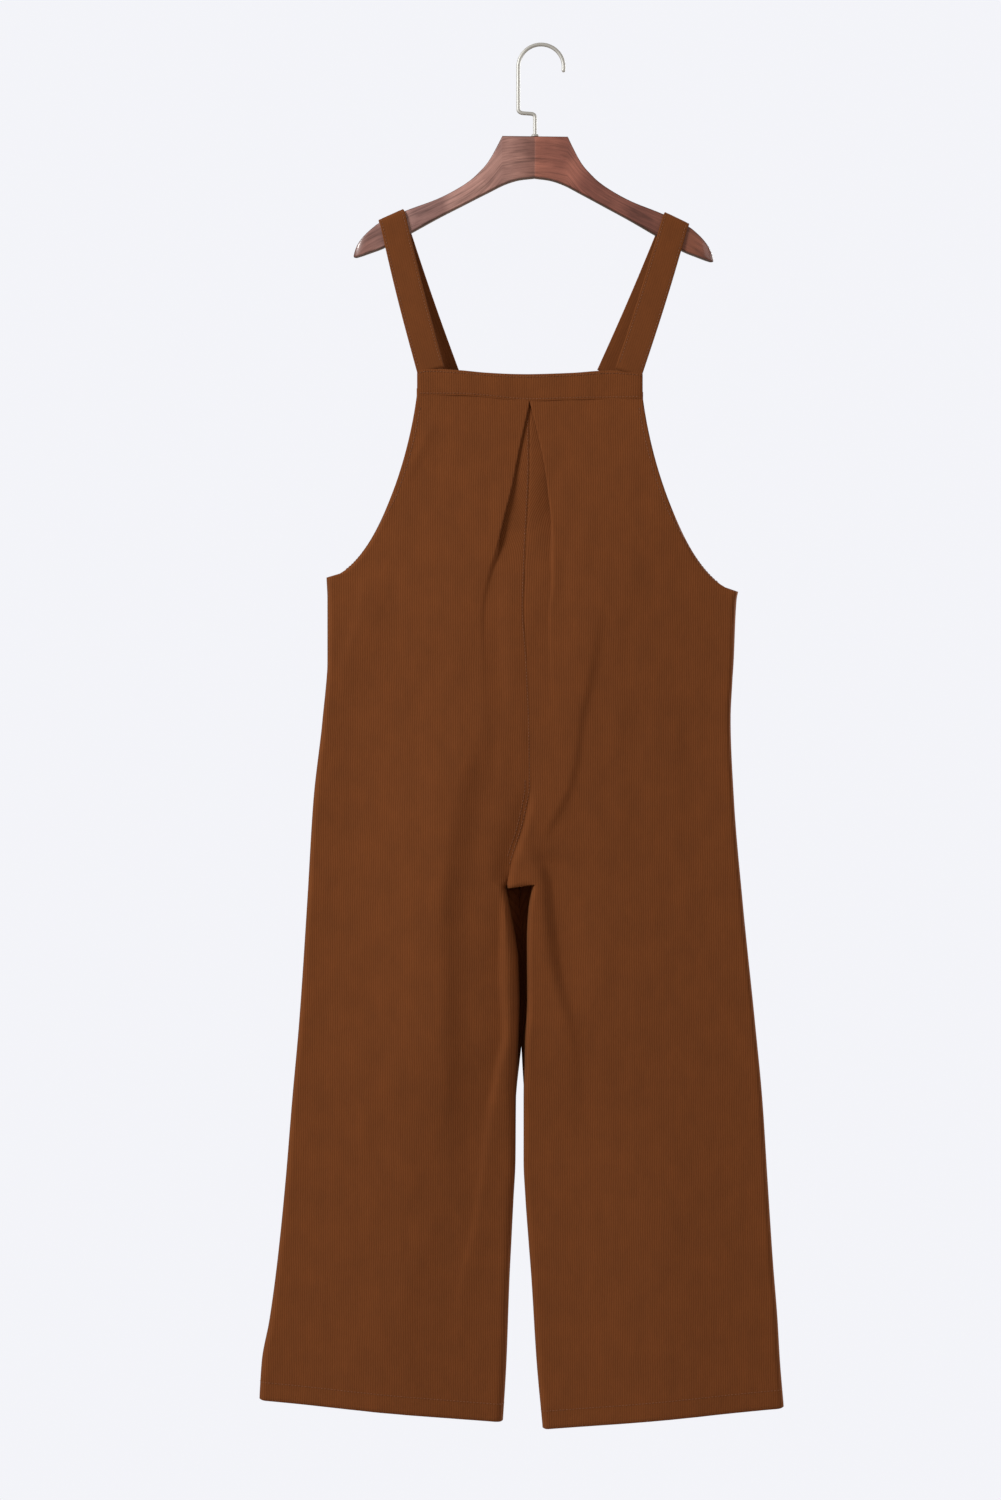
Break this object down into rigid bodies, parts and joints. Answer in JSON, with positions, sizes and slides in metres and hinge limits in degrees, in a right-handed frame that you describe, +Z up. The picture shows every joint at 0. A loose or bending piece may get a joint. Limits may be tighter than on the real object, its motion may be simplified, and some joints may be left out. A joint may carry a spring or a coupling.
{
  "type": "bib overalls on a wooden clothes hanger",
  "caption": "Wide-leg corduroy bib overalls with shoulder straps and a pleated bib, hanging flat on a shaped wooden hanger with a wire hook.",
  "frame": {"origin": "top of the opening of the hanger's hook, where the wire rests on the rail that carries it", "axes": "+Z up, the garment's front faces -Y, +X to the right as its front is seen"},
  "size_m": [0.5556, 0.0533, 1.4605],
  "materials": {
    "corduroy": "brown fine-wale cotton corduroy, soft nap",
    "wood": "red-brown varnished hardwood",
    "nickel": "nickel-plated steel wire"
  },
  "bodies": {
    "root": {"front_left": "corduroy", "front_right": "corduroy", "back_left": "corduroy", "back_right": "corduroy", "front_band": "corduroy", "back_band": "corduroy", "strap_left": "corduroy", "strap_right": "corduroy", "hanger_arms": "wood", "hanger_hook": "nickel"}
  },
  "joints": []
}
